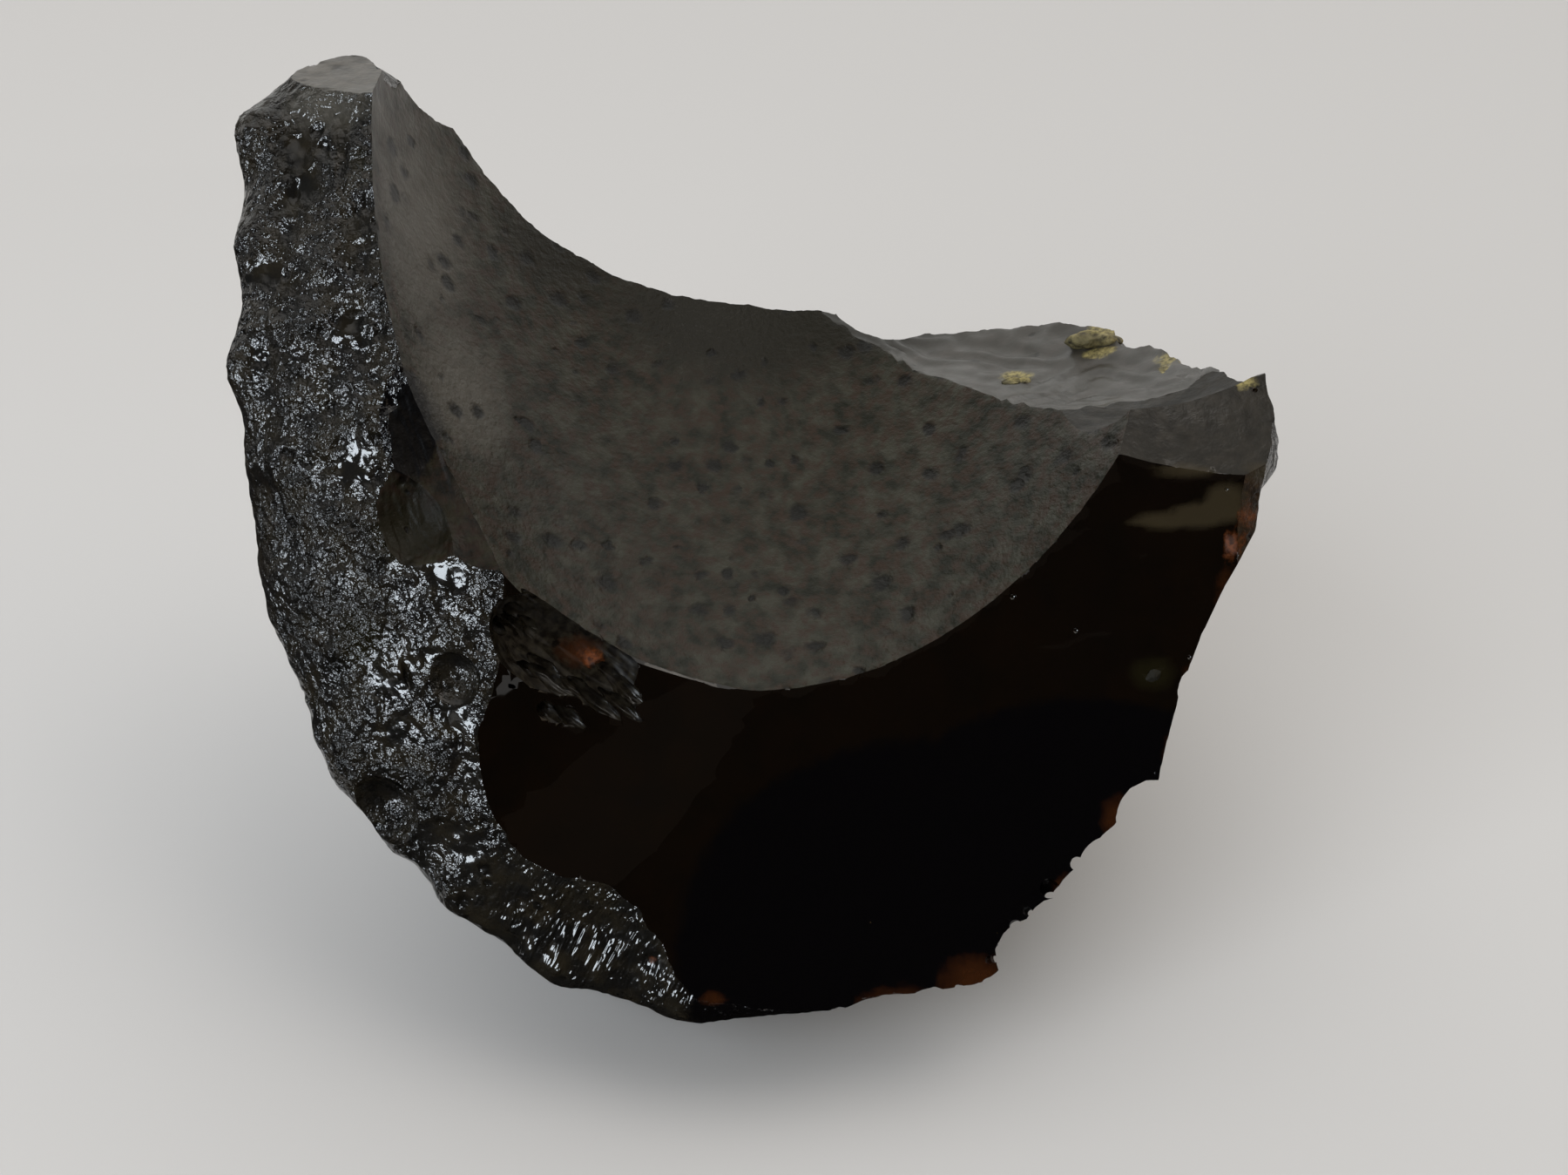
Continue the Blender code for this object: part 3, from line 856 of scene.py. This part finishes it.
def makeFinish(name, values):
    material = bpy.data.materials.new(name)
    material.use_nodes = True
    tree = material.node_tree
    shader = tree.nodes["Principled BSDF"]
    point = layoutPoint(tree)
    if "stretch" in values:
        point = along(tree, "MULTIPLY", point, values["stretch"])
    grain = addGroup(tree, grainGroup, {
        "Point": point, "Worn": mask(tree, "burnished"), "Streaked": mask(tree, "streaked"),
        **values["grain"]})
    first, second, third = ((*tone, 1) for tone in values["tones"])
    mottle = addGroup(tree, mottleGroup, {
        "Point": point, "Spacing": values["cloud"], "First": first, "Second": second, "Third": third})
    tints = addGroup(tree, tintGroup, {
        "Point": point, "Colour": mottle["Colour"],
        **{place: mask(tree, place) for place in placeTones}})
    # the pits take a darker colour
    strength, fullDepth = patterns["pitDarkening"]
    pitDarkness = ramp(tree, grain["Pits"], 0.0, strength, 0.0, fullDepth)
    colour = mixColours(tree, pitDarkness, tints["Colour"], (*values["pitColour"], 1))
    plug(tree, shader.inputs["Base Color"], colour)
    gloss = noiseAt(tree, point, *patterns["glossPatches"])
    gloss = ramp(tree, gloss, *values["roughness"], *patterns["glossEdge"])
    dull = calc(tree, "MULTIPLY", tints["Cover"], patterns["coverRoughness"])
    plug(tree, shader.inputs["Roughness"], calc(tree, "MAXIMUM", gloss, dull))
    shader.inputs["Specular IOR Level"].default_value = values["specular"]
    relief = addNode(tree, "ShaderNodeBump", {
        "Height": grain["Height"], "Distance": values["bump"] * 0.001, "Strength": 1.0})
    plug(tree, shader.inputs["Normal"], relief.outputs[0])
    return material


finishes = {name: makeFinish(name, values) for name, values in finishValues.items()}
print("finishes made")

# How finely each surface of the stone is meshed, and its low relief.
stoneDetail = {
    "fineDepth": 9.0,            # skin nearer the front than this is meshed twice as fine
    "bandDepth": 4.8,            # and the etched band at the front twice again
    "edgeMargin": 1.2,           # fine skin that reaches past the edge of a break
    "sharpAngle": 40.0,          # edges that turn more than this stay crisp, in degrees
    "seed": 7,
    "skinRelief": {
        "Knob Spacing": 2.2, "Knob Height": 0.30, "Pit Spacing": 2.3, "Pit Size": 0.33,
        "Pit Share": 0.55, "Pit Depth": 0.28, "Dome Spacing": 0.8, "Dome Height": 0.10,
        "Streak Direction": lineDirection, "Streak Spacing": 1.0, "Streak Length": 5.0,
        "Streak Height": 0.22, "Groove Spacing": 0.9, "Groove Height": 0.35},
    "hollowRelief": {"Knob Spacing": 3.0, "Knob Height": 0.05},
    "freshRelief": {"Knob Spacing": 9.0, "Knob Height": 0.05, "Ripple Centre": (-14.0, 0.0, -14.0),
                    "Ripple Spacing": 5.0, "Ripple Height": 0.012},
    "scarRelief": {"Knob Spacing": 2.5, "Knob Height": 0.12, "Ripple Centre": (2.0, 20.0, 4.0),
                   "Ripple Spacing": 3.2, "Ripple Height": 0.10},
    "chipRelief": {"Knob Spacing": 1.6, "Knob Height": 0.20},
    "flatRelief": {"Knob Spacing": 2.5, "Knob Height": 0.08},
    "crustRelief": {"Knob Spacing": 1.2, "Knob Height": 0.40},
    "wear": {"least": 0.01, "most": 0.16, "spacing": 0.55},     # loss along edges between finishes
}


def breakTest(form, margin):
    # tells where a main break will take the lump away, leaving a margin by its edge
    inverses = []
    for name in ("hollow", "rimScar"):
        centre, radii, turn = form[name]
        inverses.append(placeMatrix(centre, [radius - margin for radius in radii], turn).inverted())
    depth = freshDepth(form)

    def lost(point):
        return (any((inverse @ point).length < 1.0 for inverse in inverses)
                or point.y < depth(point.x, point.z) - margin)

    return lost


def splitFaces(mesh, chosen):
    # halves the edges of chosen faces, then rounds them off
    work = bmesh.new()
    work.from_mesh(mesh)
    faces = [face for face in work.faces if chosen(face.calc_center_median())]
    edges = list({edge for face in faces for edge in face.edges})
    made = bmesh.ops.subdivide_edges(work, edges=edges, cuts=1, use_grid_fill=True)
    fresh = list({item for item in made["geom_inner"] if isinstance(item, bmesh.types.BMVert)})
    for _ in range(2):
        bmesh.ops.smooth_vert(work, verts=fresh, factor=0.5, use_axis_x=True,
                              use_axis_y=True, use_axis_z=True)
    work.to_mesh(mesh)
    work.free()


def wearEdges(mesh, values):
    # takes the knife edge off wherever two finishes meet, unevenly, but not by the bright lip
    finishAt = {}
    edgePoints = set()
    sharpPoints = set()
    lip = mesh.materials.find("lipBreak")
    for face in mesh.polygons:
        for index in face.vertices:
            if finishAt.setdefault(index, face.material_index) != face.material_index:
                edgePoints.add(index)
            if face.material_index == lip:
                sharpPoints.add(index)
    edgePoints -= sharpPoints
    normals = {index: mesh.vertices[index].normal.copy() for index in edgePoints}
    for index in edgePoints:
        vertex = mesh.vertices[index]
        chance = max(noise.noise(vertex.co / values["spacing"]), 0.0)
        vertex.co -= normals[index] * (values["least"] + values["most"] * chance)


def makeStone(form, cuts, detail):
    reliefTree = makeReliefTree()
    stone = addObject("tektiteStone", makeNaturalLump(form))
    finer = stone.modifiers.new("finer", "SUBSURF")
    finer.levels = finer.render_levels = 1
    mesh = evaluatedMesh(stone)
    stone.modifiers.remove(finer)
    stone.data = mesh
    lost = breakTest(cuts, detail["edgeMargin"])
    splitFaces(mesh, lambda c: c.y < detail["fineDepth"] and not lost(c))
    splitFaces(mesh, lambda c: c.y < detail["bandDepth"] and not lost(c))
    markPlaces(mesh, ("burnished", "streaked", "grooved"))
    print("skin meshed:", len(mesh.polygons), "faces")
    shapeRelief(stone, reliefTree, {**detail["skinRelief"], "Finish": finishes["etchedSkin"]})

    draw = random.Random(detail["seed"])
    cutters = []

    def addCutter(obj, finish, relief=None):
        shapeRelief(obj, reliefTree, {**detail.get(relief, {}), "Finish": finishes[finish]})
        cutters.append(obj)

    def addLots(balls, finish, relief=None, fineness=4):
        for lot in sortApart(list(balls)):
            addCutter(addObject("lot", makeRoundMesh("lot", lot, fineness)), finish, relief)

    addCutter(addRoundCutter("hollow", *cuts["hollow"], fineness=7), "matteHollow", "hollowRelief")
    addCutter(addFreshCutter(cuts), "freshBreak", "freshRelief")
    addCutter(addRoundCutter("rimScar", *cuts["rimScar"], fineness=7), "rimScar", "scarRelief")
    for finish, centre, radii, turn in cuts["chips"]:
        addCutter(addRoundCutter("chip", centre, radii, turn), finish, "chipRelief")
    for finish, point, facing, radius in cuts["smallBreaks"]:
        centre = ballBehind(point, facing, radius)
        addCutter(addRoundCutter("smallBreak", centre, (radius,) * 3, fineness=6), finish, "flatRelief")
    addLots(cuts["lipChips"], "lipBreak", fineness=6)
    addLots(pinholeBalls(cuts), "freshBreak", fineness=3)
    addLots(biteBalls(cuts), "brownFlank")
    addLots(dimpleBalls(cuts), "etchedSkin", fineness=5)
    addLots(splinterBalls(cuts["splinters"], draw), "splinteredBreak", "crustRelief", fineness=3)
    addLots(nickBalls(cuts["nicks"], draw), "brownFlank", fineness=3)
    addCutter(addGroundCutter(cuts["groundSize"]), "etchedSkin")
    combine(stone, cutters, "DIFFERENCE")
    knobs = []
    for lot in sortApart([(centre, radii, (0, 0, 0)) for centre, radii in cuts["crusts"]]):
        knob = addObject("crust", makeRoundMesh("crust", lot, 4))
        shapeRelief(knob, reliefTree, {**detail["crustRelief"], "Finish": finishes["crust"]})
        knobs.append(knob)
    combine(stone, knobs, "UNION")
    print("cut", len(stone.modifiers), "times")
    mesh = evaluatedMesh(stone)
    stone.modifiers.clear()
    stone.data = mesh
    for obj in cutters + knobs:
        removeObject(obj)
    wearEdges(mesh, detail["wear"])
    markPlaces(mesh, places)
    mesh.transform(layoutToFrame)
    mesh.shade_smooth()
    mesh.set_sharp_from_angle(angle=math.radians(detail["sharpAngle"]))
    return stone


stone = makeStone(naturalLump, breaks, stoneDetail)
stone.data.calc_loop_triangles()
print("stone made:", len(stone.data.loop_triangles), "triangles")
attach(stone, "root")
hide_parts("tektite")

# Studio: a pale floor in a warm pale room, with a cool window at the left and lamps above. Some
# lamps only light surfaces, and others only shine in them.
studio = {
    "floorSize": 3.0,
    "floorColour": (0.645, 0.645, 0.65),
    "cardColour": (0.01, 0.008, 0.007),
    "sheetRoughness": 0.9, "sheetSpecular": 0.1,
    "cameraSpot": (1.83, -100.9, -12.59),    # in the stone's layout, mm
    "lens": 44.0, "sensor": 36.0, "clipStart": 0.01,
    "plainColour": (0.635, 0.635, 0.64),     # the room as the camera sees it
    "roomColour": (0.52, 0.48, 0.43),
    "roomPatches": [    # direction, cosines of the soft edge, colour
        ((0.0, 1.0, 0.1), (0.1, 0.7), (0.88, 0.885, 0.86)),
        ((0.85, -0.35, 0.35), (0.5, 0.95), (0.66, 0.54, 0.40)),
        ((-0.85, -0.42, 0.3), (0.35, 0.75), (0.09, 0.095, 0.10)),
        ((0.05, 0.05, 1.0), (0.5, 0.9), (1.15, 1.12, 1.08)),
        ((0.07, -0.83, 0.56), (0.74, 0.82), (0.045, 0.038, 0.033)),
    ],
    "aim": (0.0, 0.0, 0.02),
    "lights": [         # name, place, size, power, colour, lights surfaces, shines in them
        ("windowLight", (-0.27, -0.225, 0.085), (0.15, 0.11), 1.35, (0.84, 0.92, 1.0), False, True),
        ("ceilingLamp", (0.33, 0.01, 0.966), (0.5, 0.5), 1.0, (1.0, 0.90, 0.78), True, True),
        ("fillLight", (-0.35, -0.45, 0.40), (0.5, 0.5), 2.6, (0.93, 0.97, 1.0), True, False),
        ("lipLamp", (0.33, 0.01, 0.966), (0.16, 0.16), 2.4, (1.0, 0.97, 0.92), False, True),
    ],
    "cards": [          # place, size, turn
        ((0.036, -0.060, 0.022), (0.13, 0.044), (90, 0, 32)),
        ((-0.095, -0.110, 0.0005), (0.21, 0.19), (0, 0, 0)),
        ((-0.145, 0.045, 0.0005), (0.21, 0.12), (0, 0, 0)),
    ],
}


def addSheet(name, size, colour):
    grid = bmesh.new()
    bmesh.ops.create_grid(grid, x_segments=1, y_segments=1, size=0.5)
    bmesh.ops.scale(grid, vec=(*size, 1.0), verts=grid.verts)
    mesh = meshFrom(grid, name)
    material = bpy.data.materials.new(name)
    material.use_nodes = True
    shader = material.node_tree.nodes["Principled BSDF"]
    shader.inputs["Base Color"].default_value = (*colour, 1)
    shader.inputs["Roughness"].default_value = studio["sheetRoughness"]
    shader.inputs["Specular IOR Level"].default_value = studio["sheetSpecular"]
    mesh.materials.append(material)
    sheet = addObject(name, mesh)
    return sheet


def addBlackCard(colour, place, size, turn):
    # keeps the pale floor out of the dark glass; it casts no shadow and isn't seen itself
    card = addSheet("blackCard", size, colour)
    card.data.transform(Matrix.Translation(place) @ turnMatrix(turn))
    card.visible_camera = False
    card.visible_diffuse = False
    card.visible_shadow = False


def addLight(aim, name, place, size, power, colour, lights, shines):
    light = bpy.data.lights.new(name, "AREA")
    light.shape = "RECTANGLE"
    light.size, light.size_y = size
    light.energy = power
    light.color = colour
    obj = addObject(name, light)
    direction = Vector(aim) - Vector(place)
    obj.matrix_world = (Matrix.Translation(place)
                        @ direction.to_track_quat("-Z", "Y").to_matrix().to_4x4())
    obj.visible_diffuse = lights
    obj.visible_glossy = shines


def addWorld(values):
    # a room of soft patches of light, dark where the photographer stands; seen directly it is plain
    world = bpy.data.worlds.new("studioRoom")
    scene.world = world
    world.use_nodes = True
    tree = world.node_tree
    direction = addNode(tree, "ShaderNodeTexCoord").outputs["Generated"]
    room = (*values["roomColour"], 1)
    for aim, (outer, inner), colour in values["roomPatches"]:
        nearness = along(tree, "DOT_PRODUCT", direction, Vector(aim).normalized())
        room = mixColours(tree, ramp(tree, nearness, 0.0, 1.0, outer, inner), room, (*colour, 1))
    seen = addNode(tree, "ShaderNodeLightPath").outputs["Is Camera Ray"]
    background = tree.nodes["Background"]
    plug(tree, background.inputs["Color"], mixColours(tree, seen, room, (*values["plainColour"], 1)))


def addCamera(values):
    camera = addObject("photoCamera", bpy.data.cameras.new("photoCamera"))
    camera.data.lens = values["lens"]
    camera.data.sensor_width = values["sensor"]
    camera.data.clip_start = values["clipStart"]
    spot = layoutToFrame @ Vector(values["cameraSpot"])
    tip = math.radians(90.0 - stance["lean"])
    camera.matrix_world = Matrix.Translation(spot) @ Matrix.Rotation(tip, 4, "X")
    scene.camera = camera


addSheet("studioFloor", (studio["floorSize"],) * 2, studio["floorColour"])
for cardValues in studio["cards"]:
    addBlackCard(studio["cardColour"], *cardValues)
for lightValues in studio["lights"]:
    addLight(studio["aim"], *lightValues)
addWorld(studio)
addCamera(studio)
scene.view_settings.view_transform = "Standard"
print("studio set")
